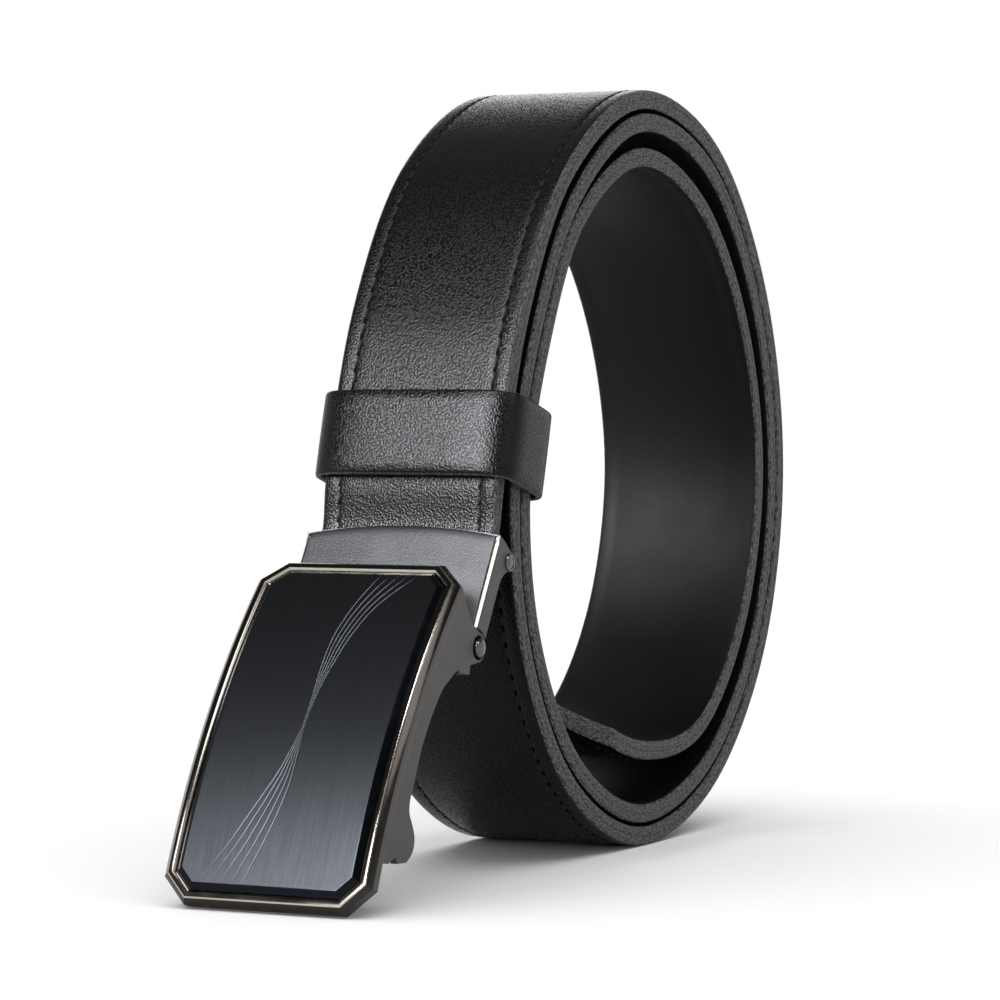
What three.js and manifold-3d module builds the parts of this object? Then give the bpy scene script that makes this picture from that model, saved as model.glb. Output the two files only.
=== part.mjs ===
// A leather ratchet belt, rolled into a coil that stands on edge.
// Millimetres, +Z up, X across the strap, -Y towards the buckle.
import * as THREE from 'three';
import { mergeVertices } from 'three/addons/utils/BufferGeometryUtils.js';
import Module from 'manifold-3d';

const wasm = await Module();
wasm.setup();

// Fineness of round outlines
const outlineSegments = 10;
const barSides = 24;

// Clearances between pieces
const pieceGap = 0.3;
const snugGap = 1;
const turnGap = 0.5;

// Strap
const strapWidth = 35;
const plyThickness = 1.75;
const plyGap = 0.3;
const strapThickness = 2 * plyThickness + plyGap;
const strapStep = 6.5;
const measureSteps = 2000;
const tipLength = 24;
const tipNoseShare = 0.36;

// Coil: the strap's outer surface seen from the side, turn by turn
const coilRadius = 73;
const turnSlack = 8.4;
// angle: degrees from the front over the top to the back
// outer: outer turn's surface, as a share of coilRadius
// slack2, slack3: free space outside the second and third turn, as shares of turnSlack
const turnRows = [
  { angle: 0, outer: 0.882, slack2: 0.27, slack3: 0 },
  { angle: 30, outer: 0.852, slack2: 0.2, slack3: 0 },
  { angle: 60, outer: 0.925, slack2: 0.16, slack3: 0 },
  { angle: 90, outer: 1.015, slack2: 0.02, slack3: 0.27 },
  { angle: 120, outer: 1.036, slack2: 0, slack3: 0.5 },
  { angle: 150, outer: 1.011, slack2: 0, slack3: 0.42 },
  { angle: 180, outer: 1.007, slack2: 0, slack3: 0.32 },
  { angle: 210, outer: 1.007, slack2: 0, slack3: 0.4 },
  { angle: 240, outer: 1.003, slack2: 0, slack3: 0.46 },
  { angle: 270, outer: 0.986, slack2: 0, slack3: 0.96 },
  { angle: 300, outer: 0.927, slack2: 0.02, slack3: 0.66 },
  { angle: 330, outer: 0.849, slack2: 0.02, slack3: 0 },
];
const turnCount = 3;
const lastAngle = 312;
const tipDip = 0.985;

// Keeper
const keeperHeight = 15.8;
const keeperWall = 1.7;
const keeperSideGap = 1.2;
const keeperAngle = 6.9;
// 2 is an ellipse, higher numbers come nearer to a rectangle
const keeperSquareness = 5.4;
const keeperInnerSquareness = 12;
const keeperSegments = 72;

// Clamp: lean is from upright, up and down run along its front plate
const clampLean = THREE.MathUtils.degToRad(31.3);
const clampForward = 0.9284;
const clampDrop = 0.1283;
const clampWidth = 39;
const clampFront = 18.35;
const clampBow = 1.5;
const clampWall = 1.5;
const clampLip = 0.45;
const mouthDepth = 3.5;
const grippedStrap = 2.7;
const gripLength = 15.8;
const gripShares = [1, 0.62, 0.26];
const thinRun = 1.6;
const flapThickness = 0.8;
const flapPinRadius = 1.1;
const flapPinDrop = 2.25;
const flapPinDome = 0.25;
const barrelWall = 0.4;
const bossWall = 0.7;
const cheekCrest = 0.15;
const cheekSetback = 0.5;
const cheekPlay = 0.1;
const knuckleWall = 0.9;
const knuckleTuck = 0.05;
const earPlay = 0.15;

// Buckle: the plate is an arc along its length
const plateWidth = 40.2;
const plateLength = 68.6;
const plateThickness = 3.2;
const plateArc = 152;
const plateCorner = 4.7;
const rimBevel = 1.1;
const rimBand = 1.1;
const inlayThickness = 1.1;
const inlayBevel = 0.7;
const pocketFloor = 1.9;
const wallThickness = 1.6;
const wallInset = 0.35;
const pivotDepth = 14.7;
const pivotBelowTop = 9.8;
const pivotPinRadius = 1.8;
const pivotPinDome = 0.3;
const pivotPinShort = 0.3;
const earRadius = 2.7;
const latchThickness = 1.8;
const latchBackShare = 0.3;
const latchDownShare = 0.705;

const matLeather = { color: 0x17181b, roughness: 0.55, metalness: 0 };
const matLining = { color: 0x121316, roughness: 0.6, metalness: 0 };
const matSatin = { color: 0x77777a, roughness: 0.42, metalness: 1 };
const matPolished = { color: 0xb9b9bb, roughness: 0.15, metalness: 1 };
const matInlay = { color: 0x1b1d21, roughness: 0.25, metalness: 0.6 };
const matSteel = { color: 0x8d8d90, roughness: 0.35, metalness: 1 };

const belt = new THREE.Group();
const assembly = new THREE.Group();
belt.add(assembly);

// Puts one named piece into a group
function addPiece(group, name, geometry, look) {
  const mesh = new THREE.Mesh(geometry, new THREE.MeshStandardMaterial(look));
  mesh.name = name;
  group.add(mesh);
  return mesh;
}

// Welds a geometry's corners, so that it is one closed skin
function weld(geometry) {
  const bare = geometry.clone();
  bare.deleteAttribute('normal');
  bare.deleteAttribute('uv');
  return mergeVertices(bare, 1e-4);
}

function toSolid(geometry) {
  const skin = weld(geometry);
  return new wasm.Manifold(new wasm.Mesh({
    numProp: 3,
    vertProperties: Float32Array.from(skin.attributes.position.array),
    triVerts: Uint32Array.from(skin.index.array),
  }));
}

function toGeometry(solid) {
  const mesh = solid.getMesh();
  const geometry = new THREE.BufferGeometry();
  geometry.setAttribute('position', new THREE.BufferAttribute(mesh.vertProperties, 3));
  geometry.setIndex(new THREE.BufferAttribute(mesh.triVerts, 1));
  geometry.computeVertexNormals();
  return geometry;
}

// Pushes a side outline, drawn as (back, up), across the strap's width
function acrossWidth(outline, width, centre = 0, bevel = 0) {
  const geometry = new THREE.ExtrudeGeometry(outline, {
    depth: width - 2 * bevel,
    bevelEnabled: bevel > 0,
    bevelThickness: bevel,
    bevelSize: bevel,
    bevelOffset: -bevel,
    bevelSegments: 1,
    curveSegments: outlineSegments,
  });
  geometry.translate(0, 0, centre - width / 2 + bevel);
  const sideways = new THREE.Matrix4().makeBasis(
    new THREE.Vector3(0, 1, 0),
    new THREE.Vector3(0, 0, 1),
    new THREE.Vector3(1, 0, 0),
  );
  return geometry.applyMatrix4(sideways);
}

// A round bar across the strap's width at (back, up), with slightly domed ends
function barAcross(radius, width, back, up, dome) {
  const half = width / 2;
  const shoulder = new THREE.Vector2(radius * 0.6, half + dome * 0.7);
  const profile = [
    new THREE.Vector2(0, -half - dome),
    new THREE.Vector2(shoulder.x, -shoulder.y),
    new THREE.Vector2(radius, -half),
    new THREE.Vector2(radius, half),
    shoulder,
    new THREE.Vector2(0, half + dome),
  ];
  const bar = new THREE.LatheGeometry(profile, barSides);
  bar.rotateZ(-Math.PI / 2);
  bar.translate(0, back, up);
  return bar;
}

function discOutline(radius, back, up) {
  const disc = new THREE.Shape();
  disc.absarc(back, up, radius, 0, 2 * Math.PI, false);
  return disc;
}

// Clamp frame: its origin is the top front edge of the clamp, relative to the coil's centre
const clampTop = new THREE.Vector2(-clampForward * coilRadius, -clampDrop * coilRadius);

function clampPoint(depth, up) {
  const sin = Math.sin(clampLean);
  const cos = Math.cos(clampLean);
  return new THREE.Vector2(clampTop.x + depth * cos + up * sin, clampTop.y - depth * sin + up * cos);
}

const gripDepth = clampWall + pieceGap + grippedStrap / 2;
const gripBack = clampWall + 2 * pieceGap + grippedStrap;
const clampDepth = gripBack + flapThickness;
const flapBarrel = flapPinRadius + pieceGap + barrelWall;
const flapPin = new THREE.Vector2(gripBack + flapBarrel, -flapPinDrop);
const knuckleRadius = pivotPinRadius + pieceGap + knuckleWall;
const pivotInClamp = new THREE.Vector2(gripDepth - knuckleTuck, -clampFront - knuckleRadius + knuckleTuck);

// The strap's middle line, from the clamp to the tip, as (back, up) from the coil's centre
function strapLine() {
  const points = [];
  for (const share of gripShares) points.push(clampPoint(gripDepth, -gripLength * share));
  points.push(clampPoint(gripDepth, clampBow - pieceGap));
  const polar = (angle, radius) => {
    const turn = THREE.MathUtils.degToRad(angle);
    return new THREE.Vector2(-radius * Math.cos(turn), radius * Math.sin(turn));
  };
  const lastTurn = turnCount - 1;
  const rowStep = turnRows[1].angle;
  for (let turn = 0; turn < turnCount; turn++) {
    for (const row of turnRows) {
      let radius = row.outer * coilRadius - strapThickness / 2;
      if (turn > 0) radius -= strapThickness + turnGap + row.slack2 * turnSlack;
      if (turn > 1) radius -= strapThickness + turnGap + row.slack3 * turnSlack;
      if (turn === lastTurn && row.angle > lastAngle) break;
      points.push(polar(row.angle, radius));
      if (turn === lastTurn && row.angle + rowStep > lastAngle) points.push(polar(lastAngle, radius * tipDip));
    }
  }
  return new THREE.CatmullRomCurve3(points.map((p) => new THREE.Vector3(0, p.x, p.y)), false, 'centripetal');
}

const line = strapLine();
line.arcLengthDivisions = measureSteps;
const strapLength = line.getLength();
const strapSteps = Math.round(strapLength / strapStep);

// Position and outward direction at a station from 0, at the clamp, to 1, at the tip
function strapFrame(station) {
  const middle = line.getPointAt(station);
  const along = line.getTangentAt(station);
  return { middle, outward: new THREE.Vector3(0, -along.z, along.y) };
}

// The strap is thinned where the clamp grips it
function thinning(station) {
  const start = (gripLength + clampBow) / strapLength;
  const end = start * thinRun;
  return THREE.MathUtils.lerp(grippedStrap / strapThickness, 1, THREE.MathUtils.smoothstep(station, start, end));
}

// The tip narrows along two straight cuts to a blunt nose
function widthShare(station) {
  const toTip = (1 - station) * strapLength;
  return Math.min(1, tipNoseShare + (1 - tipNoseShare) * (toTip / tipLength));
}

// A ply is a flat strip, bent along the strap's line
function bentPly(innerFace, thickness) {
  const strip = weld(new THREE.BoxGeometry(strapWidth, thickness, 1, 1, 1, strapSteps));
  const position = strip.attributes.position;
  for (let i = 0; i < position.count; i++) {
    const station = THREE.MathUtils.clamp(position.getZ(i) + 0.5, 0, 1);
    const frame = strapFrame(station);
    const offset = (innerFace + thickness / 2 + position.getY(i)) * thinning(station);
    const place = frame.middle.clone().addScaledVector(frame.outward, offset);
    position.setXYZ(i, position.getX(i) * widthShare(station), place.y, place.z);
  }
  strip.computeVertexNormals();
  return strip;
}

// Turns a skin the right way out if the bend turned it over
function facingOut(geometry) {
  const p = geometry.attributes.position;
  const index = geometry.index.array;
  const [a, b, c] = [new THREE.Vector3(), new THREE.Vector3(), new THREE.Vector3()];
  let volume = 0;
  for (let i = 0; i < index.length; i += 3) {
    a.fromBufferAttribute(p, index[i]);
    b.fromBufferAttribute(p, index[i + 1]);
    c.fromBufferAttribute(p, index[i + 2]);
    volume += a.dot(b.cross(c));
  }
  if (volume < 0) {
    for (let i = 0; i < index.length; i += 3) [index[i], index[i + 1]] = [index[i + 1], index[i]];
    geometry.computeVertexNormals();
  }
  return geometry;
}

function addStrap() {
  const face = bentPly(plyGap / 2, plyThickness);
  const lining = bentPly(-plyGap / 2 - plyThickness, plyThickness);
  addPiece(assembly, 'strap_face', facingOut(face), matLeather);
  addPiece(assembly, 'strap_lining', facingOut(lining), matLining);
}

// A loop's outline, part ellipse and part rectangle
function squaredEllipse(path, halfWidth, halfDepth, squareness) {
  const squared = (value) => Math.sign(value) * Math.abs(value) ** (2 / squareness);
  path.moveTo(halfWidth, 0);
  for (let i = 1; i < keeperSegments; i++) {
    const turn = (2 * Math.PI * i) / keeperSegments;
    path.lineTo(halfWidth * squared(Math.cos(turn)), halfDepth * squared(Math.sin(turn)));
  }
  return path;
}

// A loop round all three turns, square to the outer one
function addKeeper() {
  const turn = THREE.MathUtils.degToRad(keeperAngle);
  const checks = strapSteps * 4;
  const frames = [];
  for (let i = 0; i <= checks; i++) frames.push(strapFrame(i / checks));
  const sideAngle = (frame) => Math.abs(Math.atan2(frame.middle.z, -frame.middle.y) - turn);
  const outer = frames.slice(0, checks / 4).reduce((best, f) => (sideAngle(f) < sideAngle(best) ? f : best));
  const upward = new THREE.Vector3(0, outer.outward.z, -outer.outward.y);

  // How far the turns reach forwards and backwards inside the loop
  let front = -Infinity;
  let back = Infinity;
  for (const frame of frames) {
    const away = frame.middle.clone().sub(outer.middle);
    if (Math.abs(away.dot(upward)) > keeperHeight / 2 + 1 || frame.middle.y > 0) continue;
    const half = frame.outward.clone().multiplyScalar(strapThickness / 2);
    front = Math.max(front, away.clone().add(half).dot(outer.outward));
    back = Math.min(back, away.clone().sub(half).dot(outer.outward));
  }
  const halfDepth = (front - back) / 2 + snugGap;
  const halfWidth = strapWidth / 2 + keeperSideGap;
  const outline = squaredEllipse(
    new THREE.Shape(), halfWidth + keeperWall, halfDepth + keeperWall, keeperSquareness);
  outline.holes.push(squaredEllipse(new THREE.Path(), halfWidth, halfDepth, keeperInnerSquareness));
  const loop = new THREE.ExtrudeGeometry(outline, { depth: keeperHeight, bevelEnabled: false });
  loop.translate(0, 0, -keeperHeight / 2);
  const mesh = addPiece(assembly, 'keeper', loop, matLeather);
  mesh.position.copy(outer.middle).addScaledVector(outer.outward, (front + back) / 2);
  mesh.rotation.x = -Math.atan2(outer.outward.z, -outer.outward.y);
}

// The clamp case: front plate, two cheeks with pin bosses, and the hinge knuckle below
function addClamp() {
  const clamp = new THREE.Group();
  clamp.position.set(0, clampTop.x, clampTop.y);
  clamp.rotation.x = -clampLean;
  assembly.add(clamp);

  const earSweep = earRadius + pieceGap + earPlay;
  const boss = flapPinRadius + pieceGap + bossWall;
  const cheekDepth = clampDepth - cheekSetback;
  const cheek = new THREE.Shape();
  cheek.moveTo(0, 0);
  cheek.lineTo(clampWall, cheekCrest);
  cheek.lineTo(gripDepth, cheekCrest);
  cheek.absarc(flapPin.x, flapPin.y, boss, 0.6 * Math.PI, -0.1 * Math.PI, true);
  cheek.quadraticCurveTo(cheekDepth, -0.26 * clampFront, cheekDepth, -0.42 * clampFront);
  const heel = cheekDepth - pivotInClamp.x;
  cheek.lineTo(cheekDepth, pivotInClamp.y + Math.sqrt(earSweep ** 2 - heel ** 2));
  const heelAngle = Math.acos(heel / earSweep);
  cheek.absarc(pivotInClamp.x, pivotInClamp.y, earSweep, heelAngle, Math.PI * 0.6, false);
  cheek.lineTo(0, -clampFront);

  const cheekWall = clampWidth / 2 - strapWidth / 2 - pieceGap - cheekPlay;
  let solid = toSolid(acrossWidth(cheek, cheekWall, (clampWidth - cheekWall) / 2));
  solid = solid.add(toSolid(acrossWidth(cheek, cheekWall, -(clampWidth - cheekWall) / 2)));

  const frontSheet = new THREE.Shape();
  frontSheet.moveTo(-clampWidth / 2, -clampFront);
  frontSheet.lineTo(clampWidth / 2, -clampFront);
  frontSheet.lineTo(clampWidth / 2, 0);
  frontSheet.quadraticCurveTo(0, 2 * clampBow, -clampWidth / 2, 0);
  const sheet = new THREE.ExtrudeGeometry(frontSheet, { depth: clampWall, bevelEnabled: false, curveSegments: 16 });
  sheet.rotateX(Math.PI / 2);
  sheet.translate(0, clampWall, 0);
  solid = solid.add(toSolid(sheet));

  // The sheet thins towards its top edge, where the strap bends forward over it
  const mouth = new THREE.Shape();
  mouth.moveTo(clampWall, -mouthDepth);
  mouth.lineTo(clampLip, clampBow);
  mouth.lineTo(clampLip, 2 * clampBow);
  mouth.lineTo(gripDepth, 2 * clampBow);
  mouth.lineTo(gripDepth, -mouthDepth);
  solid = solid.subtract(toSolid(acrossWidth(mouth, strapWidth + 2 * pieceGap)));

  const knuckleWidth = plateWidth - 2 * (wallInset + wallThickness + pieceGap);
  const knuckle = new THREE.Shape();
  knuckle.moveTo(0, -clampFront + clampWall);
  knuckle.lineTo(clampWall, -clampFront + clampWall);
  knuckle.lineTo(pivotInClamp.x, pivotInClamp.y + knuckleRadius);
  knuckle.absarc(pivotInClamp.x, pivotInClamp.y, knuckleRadius, Math.PI / 2, -0.25 * Math.PI, true);
  knuckle.lineTo(pivotInClamp.x + 0.9 * knuckleRadius, pivotInClamp.y - 1.35 * knuckleRadius);
  knuckle.lineTo(pivotInClamp.x - 0.4 * knuckleRadius, pivotInClamp.y - 1.95 * knuckleRadius);
  knuckle.lineTo(pivotInClamp.x - knuckleRadius, pivotInClamp.y - 1.3 * knuckleRadius);
  knuckle.lineTo(pivotInClamp.x - knuckleRadius, pivotInClamp.y);
  solid = solid.add(toSolid(acrossWidth(knuckle, knuckleWidth)));

  const longBar = clampWidth * 1.2;
  const pivotBore = discOutline(pivotPinRadius + pieceGap, pivotInClamp.x, pivotInClamp.y);
  solid = solid.subtract(toSolid(acrossWidth(pivotBore, longBar)));
  const flapBore = discOutline(flapPinRadius + pieceGap, flapPin.x, flapPin.y);
  solid = solid.subtract(toSolid(acrossWidth(flapBore, longBar)));
  addPiece(clamp, 'clamp_case', toGeometry(solid), matSatin);

  const flapWidth = clampWidth - 2 * cheekWall - 2 * pieceGap;
  let flap = toSolid(acrossWidth(discOutline(flapBarrel, flapPin.x, flapPin.y), flapWidth));
  const leaf = new THREE.Shape();
  leaf.moveTo(gripBack, flapPin.y);
  leaf.lineTo(gripBack, -gripLength);
  leaf.lineTo(gripBack + flapThickness, -gripLength);
  leaf.lineTo(gripBack + flapThickness, flapPin.y);
  flap = flap.add(toSolid(acrossWidth(leaf, flapWidth)));
  flap = flap.subtract(toSolid(acrossWidth(flapBore, longBar)));
  addPiece(clamp, 'clamp_flap', toGeometry(flap), matSteel);

  addPiece(clamp, 'clamp_pin', barAcross(flapPinRadius, clampWidth, flapPin.x, flapPin.y, flapPinDome), matPolished);
}

// Buckle frame: the pivot is its origin, back and up are square to the plate
const plateTop = pivotBelowTop;
const plateMiddle = plateTop - plateLength / 2;
const halfSpan = Math.asin(plateLength / 2 / plateArc);
const plateApex = -pivotDepth - plateArc * (1 - Math.cos(Math.asin(plateMiddle / plateArc)));
const arcCentre = plateApex + plateArc;

// An arched band of the plate, between two depths from its front, as a side outline
function archBand(depthFrom, depthTo, trim) {
  const span = halfSpan - trim / plateArc;
  const band = new THREE.Shape();
  band.absarc(arcCentre, plateMiddle, plateArc - depthFrom, Math.PI - span, Math.PI + span, false);
  band.absarc(arcCentre, plateMiddle, plateArc - depthTo, Math.PI + span, Math.PI - span, true);
  return band;
}

// An upright prism with the plate's front outline and cut corners, inset by trim
function cornerPrism(trim) {
  const halfWidth = plateWidth / 2 - trim;
  const halfLength = plateLength / 2 - trim;
  const corner = plateCorner - trim * (2 - Math.SQRT2);
  const outline = new THREE.Shape();
  outline.moveTo(-halfWidth + corner, -halfLength);
  outline.lineTo(halfWidth - corner, -halfLength);
  outline.lineTo(halfWidth, -halfLength + corner);
  outline.lineTo(halfWidth, halfLength - corner);
  outline.lineTo(halfWidth - corner, halfLength);
  outline.lineTo(-halfWidth + corner, halfLength);
  outline.lineTo(-halfWidth, halfLength - corner);
  outline.lineTo(-halfWidth, -halfLength + corner);
  const prism = new THREE.ExtrudeGeometry(outline, { depth: 6 * pivotDepth, bevelEnabled: false });
  prism.translate(0, 0, -3 * pivotDepth);
  prism.rotateX(Math.PI / 2);
  prism.translate(0, 0, plateMiddle);
  return toSolid(prism);
}

// Rear edge of a side wall below the ear
// down: distance below the pivot, as a share of the plate's length below the pivot
// back: depth behind the plate's front, as a share of pivotDepth
const wallRows = [
  { down: 0.118, back: 0.71 },
  { down: 0.146, back: 0.62 },
  { down: 0.171, back: 0.566 },
  { down: 0.221, back: 0.463 },
  { down: 0.288, back: 0.407 },
  { down: 0.35, back: 0.378 },
  { down: 0.434, back: 0.37 },
  { down: 0.526, back: 0.418 },
  { down: 0.595, back: 0.45 },
  { down: 0.624, back: 0.51 },
  { down: 0.643, back: 0.642 },
  { down: 0.665, back: 0.77 },
  { down: 0.695, back: 0.83 },
  { down: 0.728, back: 0.815 },
  { down: 0.755, back: 0.755 },
];
const footRows = [
  { down: 0.782, back: 0.573 },
  { down: 0.776, back: 0.476 },
  { down: 0.807, back: 0.38 },
];

function wallPoint(row) {
  return new THREE.Vector2(-pivotDepth * (1 - row.back), -(plateLength - pivotBelowTop) * row.down);
}

function wallOutline() {
  const top = plateTop - plateCorner;
  const bottom = wallPoint({ down: 0.83, back: 0 }).y;
  const seatArc = plateArc - plateThickness / 2;
  const topTurn = Math.asin((top - plateMiddle) / seatArc);
  const bottomTurn = Math.asin((bottom - plateMiddle) / seatArc);
  const wall = new THREE.Shape();
  wall.moveTo(arcCentre - seatArc * Math.cos(topTurn), top);
  wall.lineTo(-0.76 * pivotDepth, top);
  wall.lineTo(-0.32 * pivotDepth, 0.87 * earRadius);
  wall.absarc(0, 0, earRadius, 0.62 * Math.PI, -0.33 * Math.PI, true);
  wall.splineThru(wallRows.map(wallPoint));
  for (const row of footRows) wall.lineTo(wallPoint(row).x, wallPoint(row).y);
  wall.lineTo(arcCentre - seatArc * Math.cos(bottomTurn), bottom);
  wall.absarc(arcCentre, plateMiddle, seatArc, Math.PI - bottomTurn, Math.PI - topTurn, true);
  return wall;
}

// A box that planes off the front edge at 45 degrees, along a straight edge
// turn: direction of the edge's outer side in the front view, reach: its distance from the middle
function edgePlane(turn, reach, tilt, front) {
  const size = 2 * plateWidth;
  const block = new THREE.BoxGeometry(size, size, size);
  block.translate(0, -size / 2, 0);
  block.rotateX(-Math.PI / 4 - tilt);
  block.translate(0, front, reach - rimBevel);
  block.rotateY(turn);
  block.translate(0, 0, plateMiddle);
  return toSolid(block);
}

function buckleFrame() {
  let frame = toSolid(acrossWidth(archBand(0, plateThickness, 0), plateWidth, 0, rimBevel));
  const wallCentre = plateWidth / 2 - wallInset - wallThickness / 2;
  frame = frame.add(toSolid(acrossWidth(wallOutline(), wallThickness, wallCentre)));
  frame = frame.add(toSolid(acrossWidth(wallOutline(), wallThickness, -wallCentre)));
  frame = frame.intersect(cornerPrism(0));

  const endDrop = plateArc * (1 - Math.cos(halfSpan));
  const endFront = plateApex + endDrop;
  frame = frame.subtract(edgePlane(0, plateLength / 2, halfSpan, endFront));
  frame = frame.subtract(edgePlane(Math.PI, plateLength / 2, halfSpan, endFront));
  const cornerReach = (plateWidth / 2 + plateLength / 2 - plateCorner) * Math.SQRT1_2;
  const cornerFront = plateApex + plateArc * (1 - Math.cos(halfSpan * 0.93));
  for (const side of [-1, 1]) {
    frame = frame.subtract(edgePlane(side * Math.PI / 4, cornerReach, halfSpan * 0.6, cornerFront));
    frame = frame.subtract(edgePlane(side * 3 * Math.PI / 4, cornerReach, halfSpan * 0.6, cornerFront));
  }

  const pocketTrim = rimBevel + rimBand;
  const pocket = toSolid(acrossWidth(archBand(-1, plateThickness - pocketFloor, -1), plateWidth));
  frame = frame.subtract(pocket.intersect(cornerPrism(pocketTrim)));

  const bore = discOutline(pivotPinRadius + pieceGap, 0, 0);
  frame = frame.subtract(toSolid(acrossWidth(bore, 2 * plateWidth)));
  return frame;
}

function faceInlay() {
  const trim = rimBevel + rimBand + pieceGap;
  const floor = plateThickness - pocketFloor - pieceGap;
  const width = plateWidth - 2 * trim;
  const deepBand = archBand(floor - inlayThickness, floor + 3 * inlayBevel, -2);
  const bevelled = toSolid(acrossWidth(deepBand, width, 0, inlayBevel));
  const slab = toSolid(acrossWidth(archBand(floor - 2 * inlayThickness, floor, -1), plateWidth));
  return bevelled.intersect(slab).intersect(cornerPrism(trim));
}

// The latch pawl: a bar between the feet, with a tooth towards the strap channel
function latchPawl() {
  const below = plateLength - pivotBelowTop;
  const back = -latchBackShare * pivotDepth;
  const up = -latchDownShare * below;
  const pawl = new THREE.Shape();
  pawl.moveTo(back + latchThickness, up + latchThickness);
  pawl.lineTo(back - latchThickness, up + latchThickness * 1.2);
  pawl.lineTo(back - latchThickness * 1.6, up);
  pawl.lineTo(back - latchThickness, up - latchThickness);
  pawl.lineTo(back + latchThickness, up - latchThickness);
  return acrossWidth(pawl, plateWidth - 2 * (wallThickness + pieceGap + wallInset));
}

// The buckle leans until its lowest corner stands on the same level as the coil
function buckleLean(pivotHeight) {
  const inner = plateArc - plateThickness;
  const back = arcCentre - inner * Math.cos(halfSpan);
  const up = plateMiddle - inner * Math.sin(halfSpan);
  const reach = Math.hypot(back, up);
  const hang = Math.atan2(-back, -up);
  return Math.acos(Math.min(1, pivotHeight / reach)) - hang;
}

function addBuckle(floor) {
  const pivot = clampPoint(pivotInClamp.x, pivotInClamp.y);
  const buckle = new THREE.Group();
  buckle.position.set(0, pivot.x, pivot.y);
  buckle.rotation.x = -buckleLean(pivot.y - floor);
  assembly.add(buckle);
  addPiece(buckle, 'buckle_frame', toGeometry(buckleFrame()), matPolished);
  addPiece(buckle, 'face_inlay', toGeometry(faceInlay()), matInlay);
  const pin = barAcross(pivotPinRadius, plateWidth - pivotPinShort, 0, 0, pivotPinDome);
  addPiece(buckle, 'pivot_pin', pin, matPolished);
  addPiece(buckle, 'latch_pawl', latchPawl(), matSteel);
}

addStrap();
addKeeper();
addClamp();
const coilBox = new THREE.Box3().setFromObject(assembly.getObjectByName('strap_face'), true);
addBuckle(coilBox.min.z);

// The belt stands on z = 0, with its footprint centred on the origin
belt.updateMatrixWorld(true);
const wholeBox = new THREE.Box3().setFromObject(assembly, true);
assembly.position.set(0, -(wholeBox.min.y + wholeBox.max.y) / 2, -wholeBox.min.z);

export default belt;
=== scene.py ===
import math
import bpy
import numpy as np
from mathutils import Matrix, Vector


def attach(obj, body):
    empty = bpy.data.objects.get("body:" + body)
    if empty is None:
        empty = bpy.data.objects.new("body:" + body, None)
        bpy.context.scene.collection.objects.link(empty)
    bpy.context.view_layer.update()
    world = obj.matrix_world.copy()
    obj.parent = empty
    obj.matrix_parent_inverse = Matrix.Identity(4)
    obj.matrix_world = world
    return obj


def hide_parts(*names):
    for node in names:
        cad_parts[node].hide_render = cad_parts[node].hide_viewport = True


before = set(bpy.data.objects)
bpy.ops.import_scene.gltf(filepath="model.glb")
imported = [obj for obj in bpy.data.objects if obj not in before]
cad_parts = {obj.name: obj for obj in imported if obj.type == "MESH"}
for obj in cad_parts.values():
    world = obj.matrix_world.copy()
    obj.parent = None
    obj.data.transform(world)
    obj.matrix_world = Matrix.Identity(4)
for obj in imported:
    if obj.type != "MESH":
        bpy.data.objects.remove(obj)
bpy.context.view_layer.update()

# Lengths are in millimetres until a piece is made
MM = 0.001


def add_object(name, data):
    thing = bpy.data.objects.new(name, data)
    bpy.context.scene.collection.objects.link(thing)
    return thing


def add_camera():
    """The photograph's view: a long lens from the front right, just above the coil's middle"""
    lens = bpy.data.cameras.new("camera")
    lens.lens = 138.70
    lens.sensor_width = 36
    lens.clip_start = 0.01
    camera = add_object("camera", lens)
    camera.location = (0.31858, -0.65859, 0.08585)
    camera.rotation_euler = (math.radians(88.5573), 0, math.radians(25.968))
    bpy.context.scene.camera = camera


add_camera()
bpy.context.scene.view_settings.view_transform = "Standard"


# Materials

def linear(code):
    """An sRGB hex colour in linear light"""
    shares = [int(code[i:i + 2], 16) / 255 for i in (1, 3, 5)]
    return (*[c / 12.92 if c <= 0.04045 else ((c + 0.055) / 1.055) ** 2.4 for c in shares], 1)


def add_node(tree, kind, settings=None, inputs=None):
    """Adds a node, with its settings and with a value or a link for each input named or numbered"""
    node = tree.nodes.new(kind)
    for name, value in (settings or {}).items():
        setattr(node, name, value)
    for name, value in (inputs or {}).items():
        if isinstance(value, bpy.types.NodeSocket):
            tree.links.new(value, node.inputs[name])
        else:
            node.inputs[name].default_value = value
    return node


def new_material(name):
    """An empty material, its node tree, and the place on the piece in the piece's own coordinates"""
    material = bpy.data.materials.new(name)
    material.use_nodes = True
    tree = material.node_tree
    tree.nodes.clear()
    return material, tree, add_node(tree, "ShaderNodeTexCoord").outputs["Object"]


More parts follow.
